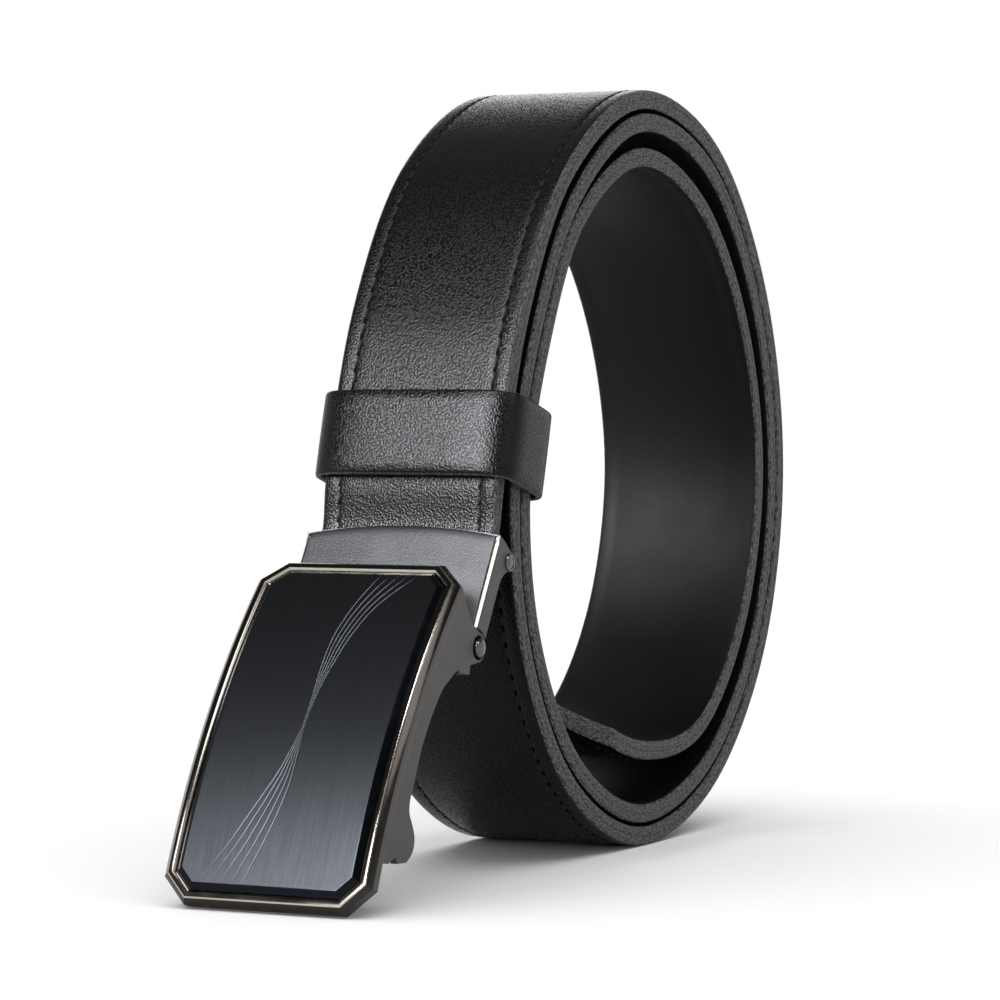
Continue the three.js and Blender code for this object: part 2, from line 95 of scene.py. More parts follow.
def grained_hide(name, pebble, rough):
    """Black drum-dyed cowhide with a pebble grain and a thin wax finish. The relief breaks a soft
    highlight into small glints, and the hide stays almost black where no light is mirrored.
    pebble: size in millimetres, rough: on the pebbles and between them"""
    material, tree, place = new_material(name)
    wander = add_node(tree, "ShaderNodeTexNoise", None, {"Vector": place, "Scale": 1 / (2 * pebble * MM)})
    shifted = add_node(tree, "ShaderNodeVectorMath", {"operation": "MULTIPLY_ADD"}, {
        0: wander.outputs["Color"], 1: (0.8 * pebble * MM,) * 3, 2: place})
    cells = add_node(tree, "ShaderNodeTexVoronoi", {"feature": "SMOOTH_F1"}, {
        "Vector": shifted.outputs[0], "Scale": 1 / (pebble * MM), "Smoothness": 0.15})
    # The square of the distance from a pebble's middle makes it a round dome
    square = add_node(tree, "ShaderNodeMath", {"operation": "MULTIPLY"}, {
        0: cells.outputs["Distance"], 1: cells.outputs["Distance"]})
    domes = add_node(tree, "ShaderNodeMapRange", None, {
        "Value": square.outputs[0], "From Min": 0.0, "From Max": 0.5, "To Min": 1.0, "To Max": 0.0})
    # Pores are finer than the pebbles
    pores = add_node(tree, "ShaderNodeTexNoise", None, {
        "Vector": place, "Scale": 1 / (0.2 * MM), "Detail": 1.0})
    # The hide is a little uneven in tone every 10 to 15 mm
    cloud = add_node(tree, "ShaderNodeTexNoise", None, {
        "Vector": place, "Scale": 1 / (12 * MM), "Detail": 3.0})
    colour = add_node(tree, "ShaderNodeMix", {"data_type": "RGBA"}, {
        0: cloud.outputs["Fac"], 6: linear("#060608"), 7: linear("#0b0b0f")})
    # The wax lies on the pebbles, and the creases between them stay dull
    gloss = add_node(tree, "ShaderNodeMapRange", None, {
        "Value": domes.outputs["Result"], "From Min": 0.1, "From Max": 0.7,
        "To Min": rough[1], "To Max": rough[0]})
    relief = add_node(tree, "ShaderNodeBump", None, {
        "Height": domes.outputs["Result"], "Distance": 0.11 * pebble * MM, "Strength": 1.0})
    fine_relief = add_node(tree, "ShaderNodeBump", None, {
        "Height": pores.outputs["Fac"], "Distance": 0.015 * MM, "Strength": 1.0,
        "Normal": relief.outputs["Normal"]})
    shader = add_node(tree, "ShaderNodeBsdfPrincipled", None, {
        "Base Color": colour.outputs[2], "Roughness": gloss.outputs["Result"],
        "Normal": fine_relief.outputs["Normal"], "IOR": 1.5, "Specular IOR Level": 0.15})
    add_node(tree, "ShaderNodeOutputMaterial", None, {"Surface": shader.outputs["BSDF"]})
    return material


def lining_leather():
    """Black split-leather lining with a pressed finish: flatter grain and a wide dull sheen"""
    material, tree, place = new_material("lining_leather")
    grain = add_node(tree, "ShaderNodeTexNoise", None, {
        "Vector": place, "Scale": 1 / (0.4 * MM), "Detail": 3.0, "Roughness": 0.6})
    cloud = add_node(tree, "ShaderNodeTexNoise", None, {
        "Vector": place, "Scale": 1 / (18 * MM), "Detail": 3.0})
    colour = add_node(tree, "ShaderNodeMix", {"data_type": "RGBA"}, {
        0: cloud.outputs["Fac"], 6: linear("#07070a"), 7: linear("#0c0c11")})
    gloss = add_node(tree, "ShaderNodeMapRange", None, {
        "Value": cloud.outputs["Fac"], "From Min": 0.3, "From Max": 0.7, "To Min": 0.44, "To Max": 0.54})
    relief = add_node(tree, "ShaderNodeBump", None, {
        "Height": grain.outputs["Fac"], "Distance": 0.06 * MM, "Strength": 0.8})
    shader = add_node(tree, "ShaderNodeBsdfPrincipled", None, {
        "Base Color": colour.outputs[2], "Roughness": gloss.outputs["Result"],
        "Normal": relief.outputs["Normal"], "IOR": 1.5, "Specular IOR Level": 0.13})
    add_node(tree, "ShaderNodeOutputMaterial", None, {"Surface": shader.outputs["BSDF"]})
    return material


def edge_paint():
    """Cut leather edge under one thin coat of black edge paint: matt, a little greyer than the
    grain side, with the fibres of the hide standing through as streaks along the strap"""
    material, tree, place = new_material("edge_paint")
    # Streaks follow the turns of the coil: fine across its radius, long round it
    centred = add_node(tree, "ShaderNodeVectorMath", {"operation": "SUBTRACT"}, {
        0: place, 1: (0, coil_back * MM, coil_up * MM)})
    parts = add_node(tree, "ShaderNodeSeparateXYZ", None, {0: centred.outputs[0]})
    flat = add_node(tree, "ShaderNodeVectorMath", {"operation": "MULTIPLY"}, {
        0: centred.outputs[0], 1: (0, 1, 1)})
    radius = add_node(tree, "ShaderNodeVectorMath", {"operation": "LENGTH"}, {0: flat.outputs[0]})
    turn = add_node(tree, "ShaderNodeMath", {"operation": "ARCTAN2"}, {
        0: parts.outputs[2], 1: parts.outputs[1]})
    rolled = add_node(tree, "ShaderNodeCombineXYZ", None, {
        0: parts.outputs[0], 1: radius.outputs["Value"], 2: turn.outputs[0]})
    # A streak is about 0.3 mm across and 1.2 mm along the edge
    stretched = add_node(tree, "ShaderNodeVectorMath", {"operation": "MULTIPLY"}, {
        0: rolled.outputs[0], 1: (1 / (0.5 * MM), 1 / (0.3 * MM), coil_radius / 1.2)})
    fibres = add_node(tree, "ShaderNodeTexNoise", None, {
        "Vector": stretched.outputs[0], "Scale": 1.0, "Detail": 3.0, "Roughness": 0.65})
    pits = add_node(tree, "ShaderNodeTexNoise", None, {
        "Vector": place, "Scale": 1 / (0.35 * MM), "Detail": 2.0})
    share = add_node(tree, "ShaderNodeMapRange", None, {
        "Value": fibres.outputs["Fac"], "From Min": 0.4, "From Max": 0.65, "To Min": 0.0, "To Max": 1.0})
    colour = add_node(tree, "ShaderNodeMix", {"data_type": "RGBA"}, {
        0: share.outputs["Result"], 6: linear("#141416"), 7: linear("#68686c")})
    gloss = add_node(tree, "ShaderNodeMapRange", None, {
        "Value": pits.outputs["Fac"], "From Min": 0.3, "From Max": 0.7, "To Min": 0.5, "To Max": 0.7})
    ridges = add_node(tree, "ShaderNodeBump", None, {
        "Height": fibres.outputs["Fac"], "Distance": 0.3 * MM, "Strength": 1.0})
    relief = add_node(tree, "ShaderNodeBump", None, {
        "Height": pits.outputs["Fac"], "Distance": 0.25 * MM, "Strength": 1.0,
        "Normal": ridges.outputs["Normal"]})
    shader = add_node(tree, "ShaderNodeBsdfPrincipled", None, {
        "Base Color": colour.outputs[2], "Roughness": gloss.outputs["Result"],
        "Normal": relief.outputs["Normal"], "IOR": 1.5, "Specular IOR Level": 0.25})
    add_node(tree, "ShaderNodeOutputMaterial", None, {"Surface": shader.outputs["BSDF"]})
    return material


def polyester_thread():
    """Bonded black polyester thread: fine strands under a low sheen"""
    material, tree, place = new_material("polyester_thread")
    strands = add_node(tree, "ShaderNodeTexNoise", None, {
        "Vector": place, "Scale": 1 / (0.3 * MM), "Detail": 1.0})
    colour = add_node(tree, "ShaderNodeMix", {"data_type": "RGBA"}, {
        0: strands.outputs["Fac"], 6: linear("#050506"), 7: linear("#0e0e10")})
    relief = add_node(tree, "ShaderNodeBump", None, {
        "Height": strands.outputs["Fac"], "Distance": 0.05 * MM, "Strength": 0.6})
    shader = add_node(tree, "ShaderNodeBsdfPrincipled", None, {
        "Base Color": colour.outputs[2], "Roughness": 0.45, "Normal": relief.outputs["Normal"],
        "IOR": 1.5, "Specular IOR Level": 0.15})
    add_node(tree, "ShaderNodeOutputMaterial", None, {"Surface": shader.outputs["BSDF"]})
    return material


def hole_shade_leather():
    """Raw black leather inside a needle hole, which gives nothing back, laid as a flat disc on the surface:
    painted shade of the hole
    """
    material, tree, place = new_material("hole_shade_leather")
    soot = add_node(tree, "ShaderNodeTexNoise", None, {"Vector": place, "Scale": 1 / (0.2 * MM)})
    colour = add_node(tree, "ShaderNodeMix", {"data_type": "RGBA"}, {
        0: soot.outputs["Fac"], 6: linear("#010101"), 7: linear("#040404")})
    shader = add_node(tree, "ShaderNodeBsdfPrincipled", None, {
        "Base Color": colour.outputs[2], "Roughness": 0.9, "Specular IOR Level": 0.05})
    add_node(tree, "ShaderNodeOutputMaterial", None, {"Surface": shader.outputs["BSDF"]})
    return material


def plated_metal(name, dark, light, rough, cloud_size, marks=None):
    """A plated metal: its tone and gloss drift softly over the surface, and fine marks of the
    blasting or the press spread its highlights.
    rough: least and most, cloud_size: millimetres, marks: their size and depth in millimetres"""
    material, tree, place = new_material(name)
    cloud = add_node(tree, "ShaderNodeTexNoise", None, {
        "Vector": place, "Scale": 1 / (cloud_size * MM), "Detail": 2.0})
    colour = add_node(tree, "ShaderNodeMix", {"data_type": "RGBA"}, {
        0: cloud.outputs["Fac"], 6: linear(dark), 7: linear(light)})
    gloss = add_node(tree, "ShaderNodeMapRange", None, {
        "Value": cloud.outputs["Fac"], "From Min": 0.3, "From Max": 0.7,
        "To Min": rough[0], "To Max": rough[1]})
    inputs = {"Base Color": colour.outputs[2], "Metallic": 1.0, "Roughness": gloss.outputs["Result"]}
    if marks:
        size, depth = marks
        grit = add_node(tree, "ShaderNodeTexNoise", None, {
            "Vector": place, "Scale": 1 / (size * MM), "Detail": 2.0})
        relief = add_node(tree, "ShaderNodeBump", None, {
            "Height": grit.outputs["Fac"], "Distance": depth * MM, "Strength": 1.0})
        inputs["Normal"] = relief.outputs["Normal"]
    shader = add_node(tree, "ShaderNodeBsdfPrincipled", None, inputs)
    add_node(tree, "ShaderNodeOutputMaterial", None, {"Surface": shader.outputs["BSDF"]})
    return material


def brushed_panel(turn):
    """Black-plated steel, brushed along its length under clear lacquer: fine lengthwise streaks
    in a deep gloss"""
    material, tree, place = new_material("brushed_black_steel")
    upright = add_node(tree, "ShaderNodeMapping", None, {"Vector": place, "Rotation": (-turn, 0, 0)})
    # Brush strokes are about 0.15 mm wide and 20 mm long
    stretched = add_node(tree, "ShaderNodeMapping", None, {
        "Vector": upright.outputs[0], "Scale": (1 / (0.16 * MM), 1 / (2 * MM), 1 / (22 * MM))})
    strokes = add_node(tree, "ShaderNodeTexNoise", None, {
        "Vector": stretched.outputs[0], "Scale": 1.0, "Detail": 3.0, "Roughness": 0.6})
    share = add_node(tree, "ShaderNodeMapRange", None, {
        "Value": strokes.outputs["Fac"], "From Min": 0.35, "From Max": 0.7, "To Min": 0.0, "To Max": 1.0})
    colour = add_node(tree, "ShaderNodeMix", {"data_type": "RGBA"}, {
        0: share.outputs["Result"], 6: linear("#1f2022"), 7: linear("#2b2d2f")})
    gloss = add_node(tree, "ShaderNodeMapRange", None, {
        "Value": strokes.outputs["Fac"], "From Min": 0.3, "From Max": 0.7, "To Min": 0.34, "To Max": 0.28})
    relief = add_node(tree, "ShaderNodeBump", None, {
        "Height": strokes.outputs["Fac"], "Distance": 0.006 * MM, "Strength": 0.4})
    shader = add_node(tree, "ShaderNodeBsdfPrincipled", None, {
        "Base Color": colour.outputs[2], "Metallic": 1.0, "Roughness": gloss.outputs["Result"],
        "Normal": relief.outputs["Normal"]})
    add_node(tree, "ShaderNodeOutputMaterial", None, {"Surface": shader.outputs["BSDF"]})
    return material


def blasted_gunmetal():
    # Zinc alloy, bead-blasted and plated: an even satin grey with blasting marks of about 0.2 mm
    return plated_metal("blasted_gunmetal", "#444445", "#4c4c4d", (0.36, 0.42), 8, (0.22, 0.06))


def black_nickel():
    # Black nickel over a polished cut: a dark, slightly warm mirror
    return plated_metal("black_nickel", "#322f2c", "#3a3734", (0.1, 0.15), 4)


def highlight_nickel():
    # The polished slopes along the rim and the clamp's sides, painted much lighter than the black nickel:
    # painted highlight, seen as warm bright lines
    return plated_metal("painted_highlight_nickel", "#a39d94", "#aea89f", (0.12, 0.18), 4)


def satin_nickel():
    # The same plating over the unpolished cast sides: brownish grey and matt
    return plated_metal("satin_nickel", "#4a4847", "#545251", (0.42, 0.5), 7, (0.25, 0.015))


def bevel_and_painted_dark_side():
    # The panel's edge: black plating with a polished slope. The same dark finish on one side of each
    # engraved line is the dark half of a painted light and dark pair
    return plated_metal("polished_black_steel_and_painted_dark_side", "#16171a", "#1c1e22", (0.12, 0.18), 3)


def engraved_painted_light_side():
    # Cut lines where the lighter steel shows through the plating, laid on one side of each line only: the
    # light half of a painted light and dark pair
    return plated_metal("engraved_painted_light_side", "#2b2c2f", "#36373a", (0.35, 0.42), 2)


def polished_steel():
    # Turned steel pins, polished and plated dark: small sharp highlights
    return plated_metal("polished_steel", "#565557", "#626163", (0.07, 0.12), 1)


def plain_steel():
    # Stamped sheet steel as it comes from the press, lightly plated: dull grey
    return plated_metal("plain_steel", "#4a4a4e", "#58585c", (0.32, 0.42), 5, (0.3, 0.02))


def backdrop_paper():
    """Matt white seamless paper"""
    material, tree, place = new_material("backdrop_paper")
    tooth = add_node(tree, "ShaderNodeTexNoise", None, {"Vector": place, "Scale": 1 / (2 * MM)})
    colour = add_node(tree, "ShaderNodeMix", {"data_type": "RGBA"}, {
        0: tooth.outputs["Fac"], 6: linear("#f4f4f4"), 7: linear("#f8f8f8")})
    shader = add_node(tree, "ShaderNodeBsdfPrincipled", None, {
        "Base Color": colour.outputs[2], "Roughness": 0.8, "Specular IOR Level": 0.2})
    add_node(tree, "ShaderNodeOutputMaterial", None, {"Surface": shader.outputs["BSDF"]})
    return material


# Shapes: each is a set of points in millimetres, faces, and a finish number for each face

def shape(points, faces, finishes=0):
    if isinstance(finishes, int):
        finishes = [finishes] * len(faces)
    return {"points": np.array(points, float), "faces": faces, "finishes": finishes}


def make_piece(name, shapes, materials, body, node=None, place=None, crease=30):
    """Joins shapes into one object that rides on a body and may stand for a CAD node"""
    points, faces, finishes = [], [], []
    for part in shapes:
        start = sum(len(p) for p in points)
        points.append(part["points"])
        faces += [tuple(i + start for i in face) for face in part["faces"]]
        finishes += part["finishes"]
    mesh = bpy.data.meshes.new(name)
    mesh.from_pydata(np.concatenate(points).tolist(), [], faces)
    mesh.transform(Matrix.Scale(MM, 4) @ (place or Matrix.Identity(4)))
    for material in materials:
        mesh.materials.append(material)
    mesh.polygons.foreach_set("material_index", finishes)
    mesh.polygons.foreach_set("use_smooth", [True] * len(faces))
    mesh.set_sharp_from_angle(angle=math.radians(crease))
    mesh.update()
    piece = add_object(name, mesh)
    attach(piece, body)
    if node:
        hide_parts(*([node] if isinstance(node, str) else node))
    return piece


def smooth_line(points, steps, power):
    """Catmull-Rom curve through points: power 0.5 is centripetal, 0 is even"""
    points = [np.array(p, float) for p in points]
    points = [2 * points[0] - points[1]] + points + [2 * points[-1] - points[-2]]
    line = []
    for i in range(1, len(points) - 2):
        p0, p1, p2, p3 = points[i - 1:i + 3]
        d0, d1, d2 = [float(np.linalg.norm(b - a)) ** power for a, b in ((p0, p1), (p1, p2), (p2, p3))]
        t1 = ((p1 - p0) / d0 - (p2 - p0) / (d0 + d1) + (p2 - p1) / d1) * d1
        t2 = ((p2 - p1) / d1 - (p3 - p1) / (d1 + d2) + (p3 - p2) / d2) * d1
        for k in range(steps):
            w = k / steps
            square = (3 * (p2 - p1) - 2 * t1 - t2) * w ** 2
            cube = (2 * (p1 - p2) + t1 + t2) * w ** 3
            line.append(p1 + t1 * w + square + cube)
    line.append(points[-2])
    return np.array(line)


def band_faces(rings, closed=True, finishes=None):
    """Quads between rings of the same number of points"""
    count = len(rings[0])
    faces, marks = [], []
    for r in range(len(rings) - 1):
        for i in range(count if closed else count - 1):
            j = (i + 1) % count
            faces.append((r * count + i, r * count + j, (r + 1) * count + j, (r + 1) * count + i))
            marks.append(finishes[r] if finishes else 0)
    return faces, marks


def filleted(profile, radius, steps=2):
    """Rounds the inner corners of an open outline"""
    rounded = [profile[0]]
    for before, corner, after in zip(profile, profile[1:], profile[2:]):
        c = np.array(corner[:2], float)
        a = np.array(before[:2], float) - c
        b = np.array(after[:2], float) - c
        cut = min(radius, 0.45 * np.linalg.norm(a), 0.45 * np.linalg.norm(b))
        start = c + a / np.linalg.norm(a) * cut
        end = c + b / np.linalg.norm(b) * cut
        for k in range(steps + 1):
            w = k / steps
            rounded.append(tuple((1 - w) ** 2 * start + 2 * w * (1 - w) * c + w ** 2 * end))
    rounded.append(profile[-1])
    return rounded


def pressed(outlines, width, centre=0.0, edge=0.2, finish=0):
    """A plate from side outlines, drawn as (back, up), with rounded edges, pushed across X"""
    curve = bpy.data.curves.new("outline", "CURVE")
    curve.dimensions = "2D"
    curve.fill_mode = "BOTH"
    curve.extrude = width / 2 - edge
    curve.bevel_depth = edge
    curve.bevel_resolution = 2
    curve.offset = -edge
    for outline in outlines:
        spline = curve.splines.new("POLY")
        spline.points.add(len(outline) - 1)
        for point, (back, up) in zip(spline.points, outline):
            point.co = (back, up, 0, 1)
        spline.use_cyclic_u = True
    holder = bpy.data.objects.new("outline", curve)
    mesh = bpy.data.meshes.new_from_object(holder)
    points = [(v.co.z + centre, v.co.x, v.co.y) for v in mesh.vertices]
    faces = [tuple(p.vertices) for p in mesh.polygons]
    bpy.data.objects.remove(holder)
    bpy.data.curves.remove(curve)
    bpy.data.meshes.remove(mesh)
    return shape(points, faces, finish)


def circle(radius, back, up, sides=32):
    turns = [2 * math.pi * k / sides for k in range(sides)]
    return [(back + radius * math.cos(t), up + radius * math.sin(t)) for t in turns]


def arc(radius, back, up, start, end, steps=12):
    """Points on an arc, with angles in shares of a half turn"""
    turns = [math.pi * (start + (end - start) * k / steps) for k in range(steps + 1)]
    return [(back + radius * math.cos(t), up + radius * math.sin(t)) for t in turns]


def pin_shape(end, rows, back, up):
    """A turned pin across X with two like heads: each row holds a distance past the face that the
    head stands on, and the radius there"""
    half = [(end + past, radius) for past, radius in rows]
    profile = [(-x, radius) for x, radius in reversed(half)] + half
    rings = [[(x, *point) for point in circle(radius, back, up)] for x, radius in profile]
    return shape([p for ring in rings for p in ring], band_faces(rings)[0])


# Strap: the same line as in the part's source

strap_width = 35
strap_half = strap_width / 2
strap_thickness = 3.8
coil_radius = 73
turn_gap = 0.5
turn_slack = 8.4
coil_back, coil_up = 22.759, 72.110
clamp_lean = math.radians(31.3)
clamp_back, clamp_up = -45.014, 62.744
clamp_wall = 1.5
clamp_lip = 0.45
clamp_bow = 1.5
piece_gap = 0.3
gripped_strap = 2.7
grip_length = 15.8
grip_depth = clamp_wall + piece_gap + gripped_strap / 2
tip_length = 24
tip_nose_share = 0.36
last_angle = 312

# angle: degrees from the front over the top to the back
# outer: the outer turn's surface as a share of coil_radius
# slack2, slack3: free space outside the second and third turn, as shares of turn_slack
turn_rows = [
    {"angle": 0, "outer": 0.882, "slack2": 0.27, "slack3": 0},
    {"angle": 30, "outer": 0.852, "slack2": 0.2, "slack3": 0},
    {"angle": 60, "outer": 0.925, "slack2": 0.16, "slack3": 0},
    {"angle": 90, "outer": 1.015, "slack2": 0.02, "slack3": 0.27},
    {"angle": 120, "outer": 1.036, "slack2": 0, "slack3": 0.5},
    {"angle": 150, "outer": 1.011, "slack2": 0, "slack3": 0.42},
    {"angle": 180, "outer": 1.007, "slack2": 0, "slack3": 0.32},
    {"angle": 210, "outer": 1.007, "slack2": 0, "slack3": 0.4},
    {"angle": 240, "outer": 1.003, "slack2": 0, "slack3": 0.46},
    {"angle": 270, "outer": 0.986, "slack2": 0, "slack3": 0.96},
    {"angle": 300, "outer": 0.927, "slack2": 0.02, "slack3": 0.66},
    {"angle": 330, "outer": 0.849, "slack2": 0.02, "slack3": 0},
]


def clamp_place():
    return Matrix.Translation((0, clamp_back, clamp_up)) @ Matrix.Rotation(-clamp_lean, 4, "X")


def route_points():
    """The strap's middle line as (back, up), from the clamp to the tip"""
    points = []
    for up in [-grip_length, -grip_length * 0.62, -grip_length * 0.26, clamp_bow - piece_gap]:
        place = clamp_place() @ Vector((0, grip_depth, up))
        points.append((place.y, place.z))
    for turn in range(3):
        for row in turn_rows:
            radius = row["outer"] * coil_radius - strap_thickness / 2
            if turn > 0:
                radius -= strap_thickness + turn_gap + row["slack2"] * turn_slack
            if turn > 1:
                radius -= strap_thickness + turn_gap + row["slack3"] * turn_slack
            if turn == 2 and row["angle"] > last_angle:
                break
            steps = [(row["angle"], radius)]
            if turn == 2 and row["angle"] + 30 > last_angle:
                steps.append((last_angle, radius * 0.985))
            for angle, reach in steps:
                a = math.radians(angle)
                points.append((coil_back - reach * math.cos(a), coil_up + reach * math.sin(a)))
    return points


route = smooth_line(route_points(), 200, 0.5)
route_run = np.concatenate([[0], np.cumsum(np.linalg.norm(np.diff(route, axis=0), axis=1))])
strap_length = route_run[-1]


def route_at(run):
    return np.stack([np.interp(run, route_run, route[:, k]) for k in (0, 1)], -1)


def strap_frame(run):
    """Middle point and direction of the strap at these distances from the clamped end"""
    run = np.asarray(run, float)
    reach = 0.4
    along = route_at(np.minimum(run + reach, strap_length)) - route_at(np.maximum(run - reach, 0))
    along /= np.linalg.norm(along, axis=-1, keepdims=True)
    outward = np.stack([-along[..., 1], along[..., 0]], -1)
    return route_at(run), along, outward


def thinning(run):
    """The strap is thinned where the clamp grips it"""
    start = grip_length + clamp_bow
    w = np.clip((run - start) / (0.6 * start), 0, 1)
    w = w * w * (3 - 2 * w)
    low = gripped_strap / strap_thickness
    return low + (1 - low) * w


def half_width(run):
    """The tip narrows to a blunt nose"""
    to_tip = strap_length - run
    return strap_half * np.minimum(1, tip_nose_share + (1 - tip_nose_share) * to_tip / tip_length)


# Section of one half of the strap, from the middle of its face over the edge to the middle of its lining
# inset: distance in from the edge, height: distance out from the middle line
# finish: of the strip that follows
GRAIN, EDGE, LINING = 0, 1, 2
stitch_inset = 3.3
section_rows = [
    {"inset": 17.5, "height": 1.90, "finish": GRAIN},
    {"inset": 10.0, "height": 1.90, "finish": GRAIN},
    {"inset": 5.2, "height": 1.90, "finish": GRAIN},
    {"inset": 4.0, "height": 1.88, "finish": GRAIN},
    {"inset": 3.6, "height": 1.82, "finish": GRAIN},
    {"inset": 3.44, "height": 1.76, "finish": GRAIN},
    {"inset": 3.3, "height": 1.72, "finish": GRAIN},
    {"inset": 3.16, "height": 1.76, "finish": GRAIN},
    {"inset": 3.0, "height": 1.82, "finish": GRAIN},
    {"inset": 2.6, "height": 1.88, "finish": GRAIN},
    {"inset": 1.6, "height": 1.90, "finish": GRAIN},
    {"inset": 0.9, "height": 1.87, "finish": GRAIN},
    {"inset": 0.45, "height": 1.78, "finish": EDGE},
    {"inset": 0.15, "height": 1.58, "finish": EDGE},
    {"inset": 0.02, "height": 1.25, "finish": EDGE},
    {"inset": 0.0, "height": 0.75, "finish": EDGE},
    {"inset": 0.03, "height": 0.3, "finish": EDGE},
    {"inset": 0.14, "height": 0.16, "finish": EDGE},
    {"inset": 0.03, "height": 0.02, "finish": EDGE},
    {"inset": 0.0, "height": -0.5, "finish": EDGE},
    {"inset": 0.02, "height": -1.2, "finish": EDGE},
    {"inset": 0.15, "height": -1.58, "finish": EDGE},
    {"inset": 0.45, "height": -1.78, "finish": LINING},
    {"inset": 0.9, "height": -1.87, "finish": LINING},
    {"inset": 2.5, "height": -1.89, "finish": LINING},
    {"inset": 3.3, "height": -1.80, "finish": LINING},
    {"inset": 4.1, "height": -1.89, "finish": LINING},
    {"inset": 10.0, "height": -1.90, "finish": LINING},
    {"inset": 17.5, "height": -1.90, "finish": LINING},
]


def across_at(half, inset):
    """Distance from the middle of the strap of a point this far in from its edge"""
    border = 5.2
    inner = (half - border) * (strap_half - inset) / (strap_half - border)
    return np.where(inset <= border, half - inset, inner)


def strap_shape():
    step = 2.0
    # The very end is rounded: distance from it, and share of the thickness left
    end_steps = [0.7, 0.35, 0.12, 0.0]
    end_shares = [1, 0.95, 0.84, 0.62]
    runs = np.concatenate([
        np.arange(0, strap_length - tip_length, step),
        strap_length - np.linspace(tip_length, 1.5, 10),
        strap_length - np.array(end_steps)])
    round_off = np.interp(strap_length - runs, end_steps[::-1], end_shares[::-1])
    middle, _, outward = strap_frame(runs)
    thin = thinning(runs)
    half = half_width(runs)
    sides = [(1, row) for row in section_rows] + [(-1, row) for row in reversed(section_rows[1:-1])]
    rings = np.zeros((len(runs), len(sides), 3))
    for k, (side, row) in enumerate(sides):
        height = row["height"] * thin * round_off
        x = across_at(half - (1 - round_off) * 0.8, row["inset"])
        rings[:, k, 0] = side * np.maximum(x, 0.05 if row["inset"] < strap_half else 0)
        rings[:, k, 1:] = middle + outward * height[:, None]
    faces, _ = band_faces(rings)
    half_finish = [row["finish"] for row in section_rows[:-1]]
    finishes = (half_finish + half_finish[::-1]) * (len(runs) - 1)
    count = len(sides)
    faces.append(tuple(range(count)))
    faces.append(tuple(reversed(range((len(runs) - 1) * count, len(runs) * count))))
    finishes += [EDGE, EDGE]
    return shape(rings.reshape(-1, 3), faces, finishes)


def seam_places():
    """Run, side and face of every stitch, with its distance from the middle of the strap"""
    pitch = 3.2
    places = []
    for level in (1, -1):
        for side in (1, -1):
            for run in np.arange(grip_length + 1, strap_length - 3.0, pitch):
                x = float(across_at(half_width(run), stitch_inset))
                if x > 1:
                    places.append((run, side * x, level))
    return places


def stitch_shapes():
    """Stitches as short sunk beads of thread, and the needle holes between them as flat dark discs of
    painted shade
    """
    length, width, proud, sunk = 2.3, 0.56, 0.32, 0.05
    slant = math.radians(11)
    # Height of a seam's bed above the strap's middle line
    grain_bed, lining_bed = 1.7, 1.58
    # A needle hole: its place from the stitch, and half its length and width
    hole_ahead, hole_rise = 1.6, 0.1
    hole_reach, hole_spread = 0.6, 0.42
    hole_turns = [2 * math.pi * k / 10 for k in range(10)]
    bead_run = [-0.5, -0.44, -0.28, 0, 0.28, 0.44, 0.5]
    bead_fat = [0.15, 0.6, 0.92, 1, 0.92, 0.6, 0.15]
    around = [math.pi * a for a in (-0.25, 0.02, 0.25, 0.5, 0.75, 0.98, 1.25)]
    bead_faces, _ = band_faces([around] * len(bead_run))
    thread_points, thread_faces = [], []
    hole_points, hole_faces = [], []
    sideways = np.array([1.0, 0, 0])
    for run, x, level in seam_places():
        middle, along, outward = strap_frame(run)
        seat = (grain_bed if level > 0 else lining_bed) * float(thinning(run)) * level
        base = np.array([x, *(middle + outward * seat)])
        forward = np.array([0, *along])
        up = np.array([0, *outward]) * level
        tilted = forward * math.cos(slant) + sideways * math.sin(slant)
        cross = sideways * math.cos(slant) - forward * math.sin(slant)
        start = len(thread_points)
        for share, fat in zip(bead_run, bead_fat):
            for a in around:
                rise = up * (math.sin(a) * proud * fat - sunk)
                spread = cross * math.cos(a) * width / 2 * fat
                thread_points.append(base + tilted * length * share + spread + rise)
        thread_faces += [tuple(start + i for i in face) for face in bead_faces]
        hole = base + forward * hole_ahead + up * hole_rise
        start = len(hole_points)
        for t in hole_turns:
            reach = forward * hole_reach * math.cos(t)
            hole_points.append(hole + reach + sideways * hole_spread * math.sin(t))
        hole_faces.append(tuple(range(start, len(hole_points))))
    return shape(thread_points, thread_faces), shape(hole_points, hole_faces)


leather = grained_hide("pebbled_leather", 0.4, (0.13, 0.38))
lining = lining_leather()
edge = edge_paint()
hole_shade = hole_shade_leather()
strap = make_piece(
    "strap", [strap_shape()], [leather, edge, lining], "belt", ["strap_face", "strap_lining"], crease=70)
threads, holes = stitch_shapes()
stitches = make_piece("stitches", [threads], [polyester_thread()], "belt", crease=80)
# The needle holes are flat near-black discs on the leather: painted shade
stitch_holes = make_piece("stitch_holes", [holes], [hole_shade], "belt")


# Keeper

keeper_height = 15.8
keeper_wall = 1.7
keeper_side_gap = 1.2
keeper_angle = math.radians(6.9)
keeper_bow = 0.3
keeper_squareness = 4.7
keeper_inner_squareness = 12
snug_gap = 1.0


def squared_ellipse(half_x, half_y, squareness, steps=120):
    """A loop's outline, part ellipse and part rectangle, as (x, y)"""
    turns = [2 * math.pi * k / steps for k in range(steps)]
    return [(half_x * math.copysign(abs(math.cos(t)) ** (2 / squareness), math.cos(t)),
             half_y * math.copysign(abs(math.sin(t)) ** (2 / squareness), math.sin(t))) for t in turns]


